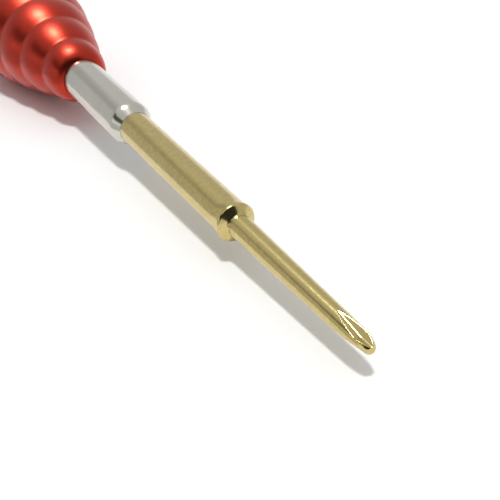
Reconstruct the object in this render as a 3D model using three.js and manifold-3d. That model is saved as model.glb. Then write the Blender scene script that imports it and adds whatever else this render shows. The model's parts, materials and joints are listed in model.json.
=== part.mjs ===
// A tri-point precision screwdriver with a swivel cap on a ball bearing.
// Millimetres, +Z up. The tool lies along X with its tip towards +X.
// The origin is the centre of the outer face of the cap's lid.

import * as THREE from 'three';
import { mergeVertices } from 'three/addons/utils/BufferGeometryUtils.js';
import Module from 'manifold-3d';

const wasm = await Module();
wasm.setup();

// Clearances
const PRESS_GAP = 0.03; // radial, between pieces pressed or screwed together
const END_GAP = 0.3; // axial, past the end of a piece in a blind hole
const RUN_GAP = 0.12; // between pieces that turn past each other
const CAP_GAP = 0.4; // between the cap's front face and the handle

// Bit: three-winged point, tapered blade, shoulder, shank and tail
const BLADE_LENGTH = 17.6; // from the shoulder to the point
const BLADE_ROOT_R = 0.97;
const BLADE_END_R = 0.74; // where the rounded point starts
const POINT_LENGTH = 2; // rounded point
const POINT_FLAT_R = 0.2; // blunt end
const WING_COUNT = 3;
const WING_FLUTE_LENGTH = 3.8;
const WING_RAMP = 2.6; // start of a flute, where its floor slopes
const WING_CORE_R = 0.28; // from the axis to the level floor after that
const WING_FLOOR = 0.08; // width of a flute's floor
const WING_LEAN = 64; // degrees from the middle of a flute to its sides
const WING_TURN = 10; // degrees from straight up to the first flute
const SHANK_R = 1.5;
const SHANK_LENGTH = 18.4; // from the collar to the shoulder
const FLARE_LENGTH = 1; // end of the shank that widens towards the shoulder
const FLARE = 0.14; // in radius
const SHOULDER_CONE = 0.45; // length of the cone from the shoulder's edge down to the blade
const TAIL_LENGTH = 22; // inside the collar
const TAIL_CHAMFER = 0.3;

// Collar that holds the bit's tail
const COLLAR_WALL = 0.47;
const COLLAR_LENGTH = 12.5; // from the handle to the collar's front end
const COLLAR_SEAT = 24; // inside the handle
const COLLAR_CHAMFER = 1; // length of the chamfered front edge
const COLLAR_LIP = 0.03; // flat left between the chamfer and the bore

// Handle, from the nose back to the flange
const NOSE_WALL = 0.32; // around the collar at the rim, before the rim is rounded
const NOSE_POWER = 1.35; // how full the nose swells: 1 is a straight cone
const NOSE_SHOULDER = 2.2; // from the bulge to the first groove
const BEAD_COUNT = 4;
const BEAD_PITCH = 3.7;
const BEAD_DEPTH = 0.26;
const RIM_BEAD = 3.2; // length of the bead at the rim
const BULGE_R = 6.2;
const BULGE_RUN = 9; // from the bulge back to the waist
const WAIST_R = 4.7;
const WAIST_MARGIN = 1.5; // plain stretch at each end of the waist
const WAIST_GROOVE_COUNT = 3;
const WAIST_GROOVE_WIDTH = 1.2;
const WAIST_LAND = 1.2; // between two grooves
const WAIST_GROOVE_DEPTH = 0.35;
const BARREL_R = 5.5;
const BARREL_RAMP = 4; // from the waist or the neck up to the barrel
const BARREL_LENGTH = 26;
const GRIP_FLUTE_COUNT = 12;
const GRIP_FLUTE_R = 1.3; // radius of the cutter
const GRIP_FLUTE_DEPTH = 0.5;
const GRIP_FLUTE_MARGIN = 2; // from the ends of the barrel to the flutes
const NECK_R = 4.8;
const NECK_COVE = 3.5; // length of the hollow curve in front of the flange
const COVE_RISE = 2.6; // height of that curve at the flange
const FLANGE_LENGTH = 4.5;
const FLANGE_STEP = 0.85; // from the cap's outside to the flats of the flange
const FLANGE_CHAMFER = 1.1; // axial, on the corners of the flange
const FLANGE_EDGE = 0.2; // from the flats in to the chamfer's small end

// Swivel cap
const CAP_WALL = 4.9; // around the bearing
const CAP_WEB = 3.4; // in front of the bearing
const CAP_ROUND = 2; // rounded rear edge
const CAP_CHAMFER = 0.4; // front edge
const CAP_TAPER = 0.6; // the rear end is this much slimmer
const CAP_GROOVE_COUNT = 3;
const CAP_GROOVE_WIDTH = 1.2;
const CAP_GROOVE_DEPTH = 0.35;
const CAP_LAND = 1; // between two grooves
const CAP_GROOVE_MARGIN = 1.6; // from the front face to the first groove
const LID_LEDGE = 2.2; // from the cap's chamber out to the rim of the lid
const LID_RIM = 0.2; // least wall around the lid's seat
const LID_THICKNESS = 1.2;
const LID_RECESS = 0.4; // the lid lies this deep in the cap
const LID_CHAMFER = 0.2;

// Ball bearing
const BEARING_BORE_R = 1.5;
const RING_WALL = 0.34; // of a ring, under its race
const BALL_R = 0.6;
const BALL_COUNT = 7;
const RACE_GAP = 0.06; // between a ball and what guides it
const RACE_DEPTH = 0.26; // of the race in the land of its ring
const CAGE_RIM = 0.14; // beside the pockets
const CAGE_LAND_GAP = 0.15; // from the cage to the lands
const CAGE_SIDE_GAP = 0.42; // from the cage to the shields
const SHIELD_THICKNESS = 0.18;
const SHIELD_DEPTH = 0.1; // below the face of the ring
const SHIELD_SEAT = 0.16; // from the outer ring's land out to the shield's rim

// Axle screw, washer, spacer and retaining ring
const HEAD_STEP = 0.7; // from the screw's shank out to its head
const HEAD_LENGTH = 1.8;
const HEAD_ROOM = 2.9; // from the head to the lid
const SOCKET_R = 1.05; // to the corners of the six-sided socket
const SOCKET_DEPTH = 1.1;
const WASHER_THICKNESS = 0.3;
const THREAD_R = 1.2;
const THREAD_LENGTH = 7;
const SPACER_CLEAR = 0.6; // from the spacer to the hole in the cap's web
const SNAP_THICKNESS = 0.6;
const SNAP_WIDTH = 0.75;
const SNAP_GROOVE_DEPTH = 0.38;
const SNAP_MOUTH = 70; // degrees left open in the retaining ring

// Sides and steps of the shapes
const HEX_SIDES = 6; // of the flange and of the screw's socket
const HANDLE_SIDES = 36;
const CAP_SIDES = 36;
const BIT_SIDES = 24;
const BEARING_SIDES = 28;
const BALL_SIDES = 8;
const BEAD_STEPS = 4;
const CURVE_STEPS = 4;
const GROOVE_STEPS = 2;

// Radii that follow from the sizes above
const collarBoreR = SHANK_R + PRESS_GAP;
const collarR = collarBoreR + COLLAR_WALL;
const noseBoreR = collarR + PRESS_GAP;
const noseRimR = noseBoreR + NOSE_WALL;
const raceR = BALL_R + RACE_GAP; // of a race's round section and of a cage pocket
const ballCircleR = BEARING_BORE_R + RING_WALL + raceR;
const bearingOuterR = ballCircleR + raceR + RING_WALL;
const landStep = raceR - RACE_DEPTH; // from the ball circle to the lands of the rings
const innerLandR = ballCircleR - landStep;
const outerLandR = ballCircleR + landStep;
const cageWall = 2 * (landStep - CAGE_LAND_GAP);
const shieldSeatR = outerLandR + SHIELD_SEAT;
const chamberR = bearingOuterR + PRESS_GAP;
const lidR = chamberR + LID_LEDGE;
const capR = chamberR + CAP_WALL;
const flangeFlatR = capR + FLANGE_STEP;
const axleR = BEARING_BORE_R - PRESS_GAP;
const headR = BEARING_BORE_R + HEAD_STEP;

// Lengths that follow from the sizes above
const cageHalf = raceR + CAGE_RIM;
const bearingWidth = 2 * (cageHalf + CAGE_SIDE_GAP + SHIELD_THICKNESS + SHIELD_DEPTH);
const waistPitch = WAIST_GROOVE_WIDTH + WAIST_LAND;
const waistLength = WAIST_GROOVE_COUNT * waistPitch - WAIST_LAND + 2 * WAIST_MARGIN;
const beadRun = (BEAD_COUNT - 1) * BEAD_PITCH + RIM_BEAD; // from the first groove to the rim
const noseLength = beadRun + NOSE_SHOULDER;

// Places along the tool, from the lid's outer face to the point
const lidInner = LID_THICKNESS;
const headRear = lidInner + HEAD_ROOM;
const washerRear = headRear + HEAD_LENGTH;
const bearingRear = washerRear + WASHER_THICKNESS;
const bearingMiddle = bearingRear + bearingWidth / 2;
const bearingFront = bearingRear + bearingWidth;
const capFront = bearingFront + CAP_WEB;
const handleRear = capFront + CAP_GAP;
const flangeFront = handleRear + FLANGE_LENGTH;
const neckFront = flangeFront + NECK_COVE;
const barrelRear = neckFront + BARREL_RAMP;
const barrelFront = barrelRear + BARREL_LENGTH;
const waistRear = barrelFront + BARREL_RAMP;
const waistFront = waistRear + waistLength;
const bulge = waistFront + BULGE_RUN;
const noseRim = bulge + noseLength;
const collarFront = noseRim + COLLAR_LENGTH;
const shoulder = collarFront + SHANK_LENGTH;
const point = shoulder + BLADE_LENGTH;

// Shape helpers. A profile is a list of [x, radius] pairs. It runs with the material on its right, as seen
// with X to the right and the radius upwards.

function turned(profile, sides) {
  const points = profile.map(([x, radius]) => new THREE.Vector2(radius, x));
  const geometry = new THREE.LatheGeometry(points, sides);
  geometry.rotateZ(-Math.PI / 2);
  return geometry;
}

// A quarter of an ellipse from [x0, r0] to [x1, r1]. It leaves the start along X and reaches the end along
// the radius.
function quarterRound([x0, r0], [x1, r1]) {
  return steps(CURVE_STEPS).map((share) => {
    const angle = (share * Math.PI) / 2;
    return [x0 + (x1 - x0) * Math.sin(angle), r1 + (r0 - r1) * Math.cos(angle)];
  });
}

// A smooth ramp that is level at both ends.
function ramp([x0, r0], [x1, r1]) {
  return steps(CURVE_STEPS).map((share) => {
    const rise = (1 - Math.cos(share * Math.PI)) / 2;
    return [x0 + (x1 - x0) * share, r0 + (r1 - r0) * rise];
  });
}

// Ring grooves, centred on the places in middles, in a surface of radius surfaceR(x).
function ringGrooves(middles, width, depth, surfaceR) {
  return middles.flatMap((middle) => steps(GROOVE_STEPS).map((share) => {
    const x = middle + (share - 0.5) * width;
    return [x, surfaceR(x) - depth * Math.sin(share * Math.PI)];
  }));
}

function steps(count) {
  return Array.from({ length: count + 1 }, (_, i) => i / count);
}

function closed(profile) {
  return [...profile, profile[0]];
}

// A body through matching outlines, which are flat, across X and in the order of rising X.
function loft(outlines) {
  const size = outlines[0].length;
  const last = (outlines.length - 1) * size;
  const corners = [];
  for (let a = 0; a < last; a += 1) {
    const b = (a + 1) % size === 0 ? a + 1 - size : a + 1;
    corners.push(a, b, a + size, b, b + size, a + size);
  }
  for (let i = 1; i < size - 1; i += 1) {
    corners.push(0, i + 1, i, last, last + i, last + i + 1);
  }
  const geometry = new THREE.BufferGeometry();
  geometry.setAttribute('position', new THREE.Float32BufferAttribute(outlines.flat(2), 3));
  geometry.setIndex(corners);
  return geometry;
}

function tube(x0, x1, innerR, outerR, sides) {
  return turned(closed([[x0, innerR], [x0, outerR], [x1, outerR], [x1, innerR]]), sides);
}

// Booleans

function solid(geometry) {
  const bare = geometry.clone();
  bare.deleteAttribute('normal');
  bare.deleteAttribute('uv');
  const welded = mergeVertices(bare);
  const corners = welded.index.array;
  const kept = [];
  for (let i = 0; i < corners.length; i += 3) {
    const [a, b, c] = corners.slice(i, i + 3);
    if (a !== b && b !== c && c !== a) {
      kept.push(a, b, c);
    }
  }
  return new wasm.Manifold(new wasm.Mesh({
    numProp: 3,
    vertProperties: new Float32Array(welded.attributes.position.array),
    triVerts: new Uint32Array(kept),
  }));
}

function geometryOf(body) {
  const { vertProperties, triVerts } = body.getMesh();
  const geometry = new THREE.BufferGeometry();
  geometry.setAttribute('position', new THREE.BufferAttribute(vertProperties, 3));
  geometry.setIndex(new THREE.BufferAttribute(triVerts, 1));
  geometry.computeVertexNormals();
  return geometry;
}

// Copies of a geometry spread evenly about X.
function aroundX(geometry, count, startAngle) {
  const step = (2 * Math.PI) / count;
  return Array.from({ length: count }, (_, i) => geometry.clone().rotateX(startAngle + i * step));
}

function cutAway(geometry, cutters) {
  return geometryOf(cutters.reduce((body, cutter) => body.subtract(solid(cutter)), solid(geometry)));
}

// Bit

function bladeR(x) {
  const share = (x - shoulder) / (BLADE_LENGTH - POINT_LENGTH);
  return BLADE_ROOT_R + (BLADE_END_R - BLADE_ROOT_R) * share;
}

// A flute is a wide V. Its floor slopes from the surface of the blade down to the core, and then runs level
// past the point.
function wingFlute() {
  const start = point - WING_FLUTE_LENGTH;
  const slope = (WING_CORE_R - bladeR(start)) / WING_RAMP;
  const margin = BLADE_ROOT_R;
  const stations = [
    [start - margin, bladeR(start) - slope * margin],
    [start + WING_RAMP, WING_CORE_R],
    [point + margin, WING_CORE_R],
  ];
  const halfFloor = WING_FLOOR / 2;
  const halfMouth = halfFloor + margin * Math.tan(THREE.MathUtils.degToRad(WING_LEAN));
  const section = [[-halfFloor, 0], [halfFloor, 0], [halfMouth, margin], [-halfMouth, margin]];
  return loft(stations.map(([x, floor]) => section.map(([y, z]) => [x, y, floor + z])));
}

function driverBit() {
  const tailEnd = collarFront - TAIL_LENGTH;
  const pointStart = point - POINT_LENGTH;
  const blank = turned([
    [tailEnd, 0],
    [tailEnd, SHANK_R - TAIL_CHAMFER],
    [tailEnd + TAIL_CHAMFER, SHANK_R],
    [shoulder - FLARE_LENGTH, SHANK_R],
    [shoulder, SHANK_R + FLARE],
    [shoulder + SHOULDER_CONE, bladeR(shoulder + SHOULDER_CONE)],
    ...quarterRound([pointStart, BLADE_END_R], [point, POINT_FLAT_R]),
    [point, 0],
  ], BIT_SIDES);
  return cutAway(blank, aroundX(wingFlute(), WING_COUNT, THREE.MathUtils.degToRad(WING_TURN)));
}

// Collar

function collar() {
  const rear = noseRim - COLLAR_SEAT;
  return turned(closed([
    [rear, collarBoreR],
    [rear, collarR],
    [collarFront - COLLAR_CHAMFER, collarR],
    [collarFront, collarBoreR + COLLAR_LIP],
    [collarFront, collarBoreR],
  ]), BIT_SIDES);
}

// Handle

function noseR(x) {
  const left = Math.max(0, (x - bulge) / noseLength);
  return BULGE_R - (BULGE_R - noseRimR) * left ** NOSE_POWER;
}

// A point of the bead between two grooves, at a share of the way from the first to the second.
function onBead([x0, r0], [x1, r1], share) {
  const swell = 4 * BEAD_DEPTH * share * (1 - share);
  return [x0 + (x1 - x0) * share, r0 + (r1 - r0) * share + swell];
}

// The beads between the ring grooves of the nose. The last one rounds off, from its crest, to the rim.
function beads() {
  const grooves = Array.from({ length: BEAD_COUNT }, (_, i) => {
    const x = noseRim - beadRun + i * BEAD_PITCH;
    return [x, noseR(x) - BEAD_DEPTH];
  });
  const whole = grooves.slice(1).flatMap((groove, i) => (
    steps(BEAD_STEPS).slice(0, -1).map((share) => onBead(grooves[i], groove, share))
  ));
  const last = grooves[BEAD_COUNT - 1];
  const rim = [noseRim, noseRimR];
  const crestShare = Math.max(0, 0.5 - (last[1] - noseRimR) / (8 * BEAD_DEPTH));
  const crest = onBead(last, rim, crestShare);
  return [...whole, last, ...quarterRound(crest, [noseRim, noseBoreR])];
}

// The smooth shoulder between the bulge and the first groove of the nose.
function bulgeFront() {
  const groove = noseRim - beadRun;
  return steps(CURVE_STEPS).slice(1, -1).map((share) => {
    const x = bulge + (groove - bulge) * share;
    return [x, noseR(x) - BEAD_DEPTH * share ** 2];
  });
}

function flange() {
  const corner = flangeFlatR / Math.cos(Math.PI / HEX_SIDES);
  const small = flangeFlatR - FLANGE_EDGE;
  const prism = new THREE.CylinderGeometry(corner, corner, FLANGE_LENGTH, HEX_SIDES);
  prism.rotateZ(-Math.PI / 2);
  prism.rotateX(Math.PI / HEX_SIDES);
  prism.translate((handleRear + flangeFront) / 2, 0, 0);
  const chamfered = turned(closed([
    [handleRear, NECK_R],
    [handleRear, small],
    [handleRear + FLANGE_CHAMFER, corner],
    [flangeFront - FLANGE_CHAMFER, corner],
    [flangeFront, small],
    [flangeFront, NECK_R],
  ]), HANDLE_SIDES);
  return solid(prism).intersect(solid(chamfered));
}

// The spindle is the whole turned handle but the flange and the flutes: screw hole, outside and collar bore.
function spindle() {
  const screwHoleR = THREAD_R + PRESS_GAP;
  const screwHoleEnd = handleRear + THREAD_LENGTH + END_GAP;
  const boreEnd = noseRim - COLLAR_SEAT - END_GAP;
  const firstGroove = waistRear + WAIST_MARGIN + WAIST_GROOVE_WIDTH / 2;
  const waistGrooves = Array.from({ length: WAIST_GROOVE_COUNT }, (_, i) => firstGroove + i * waistPitch);
  return turned([
    [screwHoleEnd, 0],
    [screwHoleEnd, screwHoleR],
    [handleRear, screwHoleR],
    [handleRear, NECK_R + COVE_RISE],
    [flangeFront, NECK_R + COVE_RISE],
    ...quarterRound([neckFront, NECK_R], [flangeFront, NECK_R + COVE_RISE]).reverse().slice(1, -1),
    ...ramp([neckFront, NECK_R], [barrelRear, BARREL_R]),
    ...ramp([barrelFront, BARREL_R], [waistRear, WAIST_R]),
    ...ringGrooves(waistGrooves, WAIST_GROOVE_WIDTH, WAIST_GROOVE_DEPTH, () => WAIST_R),
    ...ramp([waistFront, WAIST_R], [bulge, BULGE_R]),
    ...bulgeFront(),
    ...beads(),
    [boreEnd, noseBoreR],
    [boreEnd, 0],
  ], HANDLE_SIDES);
}

function gripFlute() {
  const length = BARREL_LENGTH - 2 * GRIP_FLUTE_MARGIN;
  const rear = barrelRear + GRIP_FLUTE_MARGIN;
  const nose = [rear + GRIP_FLUTE_R, GRIP_FLUTE_R];
  const front = rear + length;
  const cutter = turned([
    ...quarterRound(nose, [rear, 0]).reverse(),
    ...quarterRound([front - GRIP_FLUTE_R, GRIP_FLUTE_R], [front, 0]),
  ], BALL_SIDES);
  cutter.translate(0, 0, BARREL_R + GRIP_FLUTE_R - GRIP_FLUTE_DEPTH);
  return cutter;
}

function handleBody() {
  const turnedBody = solid(spindle()).add(flange());
  return cutAway(geometryOf(turnedBody), aroundX(gripFlute(), GRIP_FLUTE_COUNT, 0));
}

// Swivel cap

function capOutsideR(x) {
  const rearRound = CAP_ROUND - LID_RECESS;
  return capR - (CAP_TAPER * (capFront - x)) / (capFront - rearRound);
}

function capBody() {
  const rear = -LID_RECESS;
  const roundEnd = rear + CAP_ROUND;
  const lidSeatR = lidR + PRESS_GAP;
  const rimR = Math.max(capOutsideR(roundEnd) - CAP_ROUND, lidSeatR + LID_RIM);
  const snapGrooveR = chamberR + SNAP_GROOVE_DEPTH;
  const snapGrooveRear = bearingRear - SNAP_THICKNESS - 2 * PRESS_GAP;
  const webHoleR = innerLandR + SPACER_CLEAR;
  const lastGroove = capFront - CAP_GROOVE_MARGIN - CAP_GROOVE_WIDTH / 2;
  const pitch = CAP_GROOVE_WIDTH + CAP_LAND;
  const grooves = Array.from({ length: CAP_GROOVE_COUNT }, (_, i) => lastGroove - i * pitch).reverse();
  return turned(closed([
    [rear, lidSeatR],
    ...quarterRound([roundEnd, capOutsideR(roundEnd)], [rear, rimR]).reverse(),
    ...ringGrooves(grooves, CAP_GROOVE_WIDTH, CAP_GROOVE_DEPTH, capOutsideR),
    [capFront - CAP_CHAMFER, capOutsideR(capFront - CAP_CHAMFER)],
    [capFront, capR - CAP_CHAMFER],
    [capFront, webHoleR],
    [bearingFront, webHoleR],
    [bearingFront, chamberR],
    [bearingRear, chamberR],
    [bearingRear, snapGrooveR],
    [snapGrooveRear, snapGrooveR],
    [snapGrooveRear, chamberR],
    [lidInner, chamberR],
    [lidInner, lidSeatR],
  ]), CAP_SIDES);
}

function capLid() {
  return turned([
    [0, 0],
    [0, lidR - LID_CHAMFER],
    [LID_CHAMFER, lidR],
    [lidInner, lidR],
    [lidInner, 0],
  ], CAP_SIDES);
}

function retainingRing() {
  const outerR = chamberR + SNAP_GROOVE_DEPTH - PRESS_GAP;
  const innerR = outerR - SNAP_WIDTH;
  const mouth = THREE.MathUtils.degToRad(SNAP_MOUTH / 2);
  const outline = new THREE.Shape();
  outline.absarc(0, 0, outerR, mouth, 2 * Math.PI - mouth, false);
  outline.absarc(0, 0, innerR, 2 * Math.PI - mouth, mouth, true);
  const geometry = new THREE.ExtrudeGeometry(outline, {
    depth: SNAP_THICKNESS,
    bevelEnabled: false,
    curveSegments: BEARING_SIDES,
  });
  geometry.rotateY(Math.PI / 2);
  geometry.translate(bearingRear - SNAP_THICKNESS - PRESS_GAP, 0, 0);
  return geometry;
}

// Ball bearing

// The round groove in a ring's land, from one edge of the groove to the other, in the direction of X.
function race(landR) {
  const side = Math.sign(landR - ballCircleR);
  const edge = Math.acos(landStep / raceR);
  return steps(CURVE_STEPS).map((share) => {
    const angle = edge * (2 * share - 1);
    return [bearingMiddle + raceR * Math.sin(angle), ballCircleR + side * raceR * Math.cos(angle)];
  });
}

function innerRing() {
  return turned(closed([
    [bearingRear, BEARING_BORE_R],
    [bearingRear, innerLandR],
    ...race(innerLandR),
    [bearingFront, innerLandR],
    [bearingFront, BEARING_BORE_R],
  ]), BEARING_SIDES);
}

function outerRing() {
  const step = SHIELD_DEPTH + SHIELD_THICKNESS + PRESS_GAP;
  return turned(closed([
    [bearingRear, bearingOuterR],
    [bearingFront, bearingOuterR],
    [bearingFront, shieldSeatR],
    [bearingFront - step, shieldSeatR],
    [bearingFront - step, outerLandR],
    ...race(outerLandR).reverse(),
    [bearingRear + step, outerLandR],
    [bearingRear + step, shieldSeatR],
    [bearingRear, shieldSeatR],
  ]), BEARING_SIDES);
}

function cage() {
  const innerR = ballCircleR - cageWall / 2;
  const outerR = ballCircleR + cageWall / 2;
  const blank = tube(bearingMiddle - cageHalf, bearingMiddle + cageHalf, innerR, outerR, BEARING_SIDES);
  const pocket = new THREE.SphereGeometry(raceR, BALL_SIDES, BALL_SIDES);
  pocket.translate(bearingMiddle, 0, ballCircleR);
  return cutAway(blank, aroundX(pocket, BALL_COUNT, 0));
}

function balls() {
  const ball = new THREE.SphereGeometry(BALL_R, BALL_SIDES, BALL_SIDES);
  ball.translate(bearingMiddle, 0, ballCircleR);
  return aroundX(ball, BALL_COUNT, 0);
}

function shield(rear) {
  return tube(rear, rear + SHIELD_THICKNESS, innerLandR + RUN_GAP, shieldSeatR - PRESS_GAP, BEARING_SIDES);
}

// Axle

function axleScrew() {
  const threadEnd = handleRear + THREAD_LENGTH;
  const blank = turned([
    [headRear, 0],
    [headRear, headR],
    [washerRear, headR],
    [washerRear, axleR],
    [handleRear, axleR],
    [handleRear, THREAD_R],
    [threadEnd, THREAD_R],
    [threadEnd, 0],
  ], BEARING_SIDES);
  const socket = new THREE.CylinderGeometry(SOCKET_R, SOCKET_R, 2 * SOCKET_DEPTH, HEX_SIDES);
  socket.rotateZ(-Math.PI / 2);
  socket.translate(headRear, 0, 0);
  return cutAway(blank, [socket]);
}

function washer() {
  return tube(washerRear, bearingRear, BEARING_BORE_R, headR, BEARING_SIDES);
}

function spacer() {
  return tube(bearingFront, handleRear, BEARING_BORE_R, innerLandR, BEARING_SIDES);
}

// Finishes

function finish(color, roughness, metalness) {
  return new THREE.MeshStandardMaterial({ color, roughness, metalness });
}

const goldCoat = finish(0xb8a266, 0.3, 1);
const nickel = finish(0xb9b7ae, 0.25, 1);
const redAnodise = finish(0xb8301f, 0.35, 1);
const bearingSteel = finish(0xc4c6c8, 0.15, 1);
const screwSteel = finish(0x8d8f91, 0.35, 1);
const springSteel = finish(0x4a4d50, 0.4, 1);

// Assembly

const screwdriver = new THREE.Group();

function addPiece(name, geometry, material) {
  const mesh = new THREE.Mesh(geometry, material);
  mesh.name = name;
  screwdriver.add(mesh);
}

addPiece('driver_bit', driverBit(), goldCoat);
addPiece('collar', collar(), nickel);
addPiece('handle_body', handleBody(), redAnodise);
addPiece('cap_body', capBody(), redAnodise);
addPiece('cap_lid', capLid(), nickel);
addPiece('retaining_ring', retainingRing(), springSteel);
addPiece('bearing_outer_ring', outerRing(), bearingSteel);
addPiece('bearing_inner_ring', innerRing(), bearingSteel);
addPiece('bearing_cage', cage(), screwSteel);
addPiece('shield_rear', shield(bearingRear + SHIELD_DEPTH), screwSteel);
addPiece('shield_front', shield(bearingFront - SHIELD_DEPTH - SHIELD_THICKNESS), screwSteel);
addPiece('axle_screw', axleScrew(), screwSteel);
addPiece('head_washer', washer(), screwSteel);
addPiece('spacer_tube', spacer(), screwSteel);
balls().forEach((ball, i) => addPiece(`ball_${i + 1}`, ball, bearingSteel));

export default screwdriver;
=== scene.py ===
# %% [markdown]
# A tri-point precision screwdriver, from its three-winged point to the swivel cap under the palm.
# The CAD model already has every piece in its true place, so this file loads it as a fixed frame.
# Each piece is then modelled again with smooth, finely divided surfaces, and gets its finish.

# %% Load the frame
import json
import math

import bmesh
import bpy
from mathutils import Matrix, Vector


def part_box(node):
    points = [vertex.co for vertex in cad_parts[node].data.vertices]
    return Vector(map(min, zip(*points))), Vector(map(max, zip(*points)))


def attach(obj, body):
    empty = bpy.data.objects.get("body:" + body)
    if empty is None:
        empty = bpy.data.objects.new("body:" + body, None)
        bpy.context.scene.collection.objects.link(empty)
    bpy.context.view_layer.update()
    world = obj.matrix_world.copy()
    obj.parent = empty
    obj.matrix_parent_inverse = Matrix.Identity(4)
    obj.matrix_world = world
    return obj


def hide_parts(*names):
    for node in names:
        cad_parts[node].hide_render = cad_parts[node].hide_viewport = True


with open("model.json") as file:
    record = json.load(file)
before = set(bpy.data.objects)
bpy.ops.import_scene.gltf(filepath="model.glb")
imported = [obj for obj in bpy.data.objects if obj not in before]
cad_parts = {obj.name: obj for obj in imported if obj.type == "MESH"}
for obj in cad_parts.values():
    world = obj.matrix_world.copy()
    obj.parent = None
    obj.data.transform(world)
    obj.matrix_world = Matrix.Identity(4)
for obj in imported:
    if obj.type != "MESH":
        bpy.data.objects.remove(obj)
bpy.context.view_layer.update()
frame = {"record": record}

# %% [markdown]
# Almost every piece of a screwdriver comes off a lathe, so the first tool is a lathe.
# By hand you would draw half of the outline as a chain of points and then use Spin.
# The helper does the same: one vertex is extruded from point to point, and the chain is spun about X.
# Outlines are lists of (x, radius) in millimetres, as on a workshop drawing.

# %% Lathe
MM = 0.001
WELD = 1e-4 * MM
SMOOTH_BELOW = math.radians(32)
BEVEL_STEPS = 3


def finish_shading(piece):
    bpy.ops.object.select_all(action="DESELECT")
    piece.select_set(True)
    bpy.context.view_layer.objects.active = piece
    bpy.ops.object.shade_smooth_by_angle(angle=SMOOTH_BELOW)


def turn(name, outline, sides):
    bpy.ops.object.select_all(action="DESELECT")
    (x, r), *others = outline
    bpy.ops.mesh.primitive_plane_add(size=MM, location=(x * MM, 0, r * MM))
    piece = bpy.context.object
    piece.name = piece.data.name = name
    bpy.ops.object.transform_apply(location=True)
    bpy.ops.object.mode_set(mode="EDIT")
    bpy.ops.mesh.select_all(action="SELECT")
    bpy.ops.mesh.merge(type="CENTER")
    for next_x, next_r in others:
        step = ((next_x - x) * MM, 0, (next_r - r) * MM)
        bpy.ops.mesh.extrude_region_move(TRANSFORM_OT_translate={"value": step})
        x, r = next_x, next_r
    bpy.ops.mesh.select_all(action="SELECT")
    bpy.ops.mesh.spin(steps=sides, angle=2 * math.pi, center=(0, 0, 0), axis=(1, 0, 0))
    bpy.ops.mesh.select_all(action="SELECT")
    bpy.ops.mesh.remove_doubles(threshold=WELD)
    bpy.ops.mesh.normals_make_consistent(inside=False)
    bpy.ops.object.mode_set(mode="OBJECT")
    finish_shading(piece)
    return piece


def apply_modifier(piece, modifier):
    bpy.ops.object.select_all(action="DESELECT")
    piece.select_set(True)
    bpy.context.view_layer.objects.active = piece
    bpy.ops.object.modifier_apply(modifier=modifier.name)


def soften(piece, width):
    bevel = piece.modifiers.new("soft edges", "BEVEL")
    bevel.limit_method = "ANGLE"
    bevel.angle_limit = SMOOTH_BELOW
    bevel.width = width * MM
    bevel.segments = BEVEL_STEPS
    apply_modifier(piece, bevel)
    finish_shading(piece)


# %% [markdown]
# Outlines are made of a few kinds of curve: a quarter of an ellipse for a rounded edge or a cove,
# a cosine ramp where one diameter runs smoothly into another, an eased corner, and ring grooves.

# %% Curves for outlines


def shares(count):
    return [i / count for i in range(count + 1)]


def quarter_round(start, end, count=12, part=1):
    (x0, r0), (x1, r1) = start, end
    last = part * math.pi / 2
    long, high = (x1 - x0) / math.sin(last), (r1 - r0) / (1 - math.cos(last))
    angles = [share * last for share in shares(count)]
    return [(x0 + long * math.sin(a), r0 + high * (1 - math.cos(a))) for a in angles]


def ramp(start, end, count=20):
    (x0, r0), (x1, r1) = start, end
    return [(x0 + (x1 - x0) * s, r0 + (r1 - r0) * (1 - math.cos(s * math.pi)) / 2) for s in shares(count)]


def straight(start, end, count):
    (x0, r0), (x1, r1) = start, end
    return [(x0 + (x1 - x0) * s, r0 + (r1 - r0) * s) for s in shares(count)]


def eased_corner(before, corner, after, run, count=8):
    before, corner, after = Vector(before), Vector(corner), Vector(after)
    start = corner + (before - corner).normalized() * run
    end = corner + (after - corner).normalized() * run
    curve = [start.lerp(corner, s).lerp(corner.lerp(end, s), s) for s in shares(count)]
    return [tuple(place) for place in curve]


def ring_groove(middle, width, depth, surface_r, count=10):
    points = []
    for share in shares(count):
        x = middle + (share - 0.5) * width
        points.append((x, surface_r(x) - depth * math.sin(share * math.pi)))
    return points


# %% [markdown]
# Flutes, flats and threads are not round, so they can't come off the lathe.
# A Boolean cutter would leave razor edges that catch no light, and slivers beside them.
# Here the turned blank is divided finely, and its surface is pressed in towards the axis to a second shape.
# Where the two shapes meet, a soft minimum rounds the edge as polishing does.

# %% Press a shape into a turned blank


def soft_min(a, b, width):
    overlap = max(width - abs(a - b), 0) / width
    return min(a, b) - overlap * overlap * width / 4


def press_in(piece, shape_r, x_range, edge):
    moved = 0
    for vertex in piece.data.vertices:
        x, y, z = vertex.co / MM
        r = math.hypot(y, z)
        if x_range[0] <= x <= x_range[1] and r > WELD / MM:
            pressed = soft_min(r, shape_r(x, math.atan2(-y, z)), edge)
            if pressed < r:
                vertex.co.y *= pressed / r
                vertex.co.z *= pressed / r
                moved += 1
    piece.data.update()
    finish_shading(piece)
    print(piece.name, "had", moved, "points pressed in")


def from_nearest(angle, count, first):
    pitch = 2 * math.pi / count
    return (angle - first + pitch / 2) % pitch - pitch / 2


# %% [markdown]
# The bit is one rod of tool steel with a gold-coloured coat.
# A tail sits in the collar, a shank flares a little to its shoulder, and a slim blade tapers to the point.
# The polished corners of the shoulder are eased, so that they draw soft lines of light.
# The outline has a dense run of points near the end, because the flutes are pressed in there.

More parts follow.
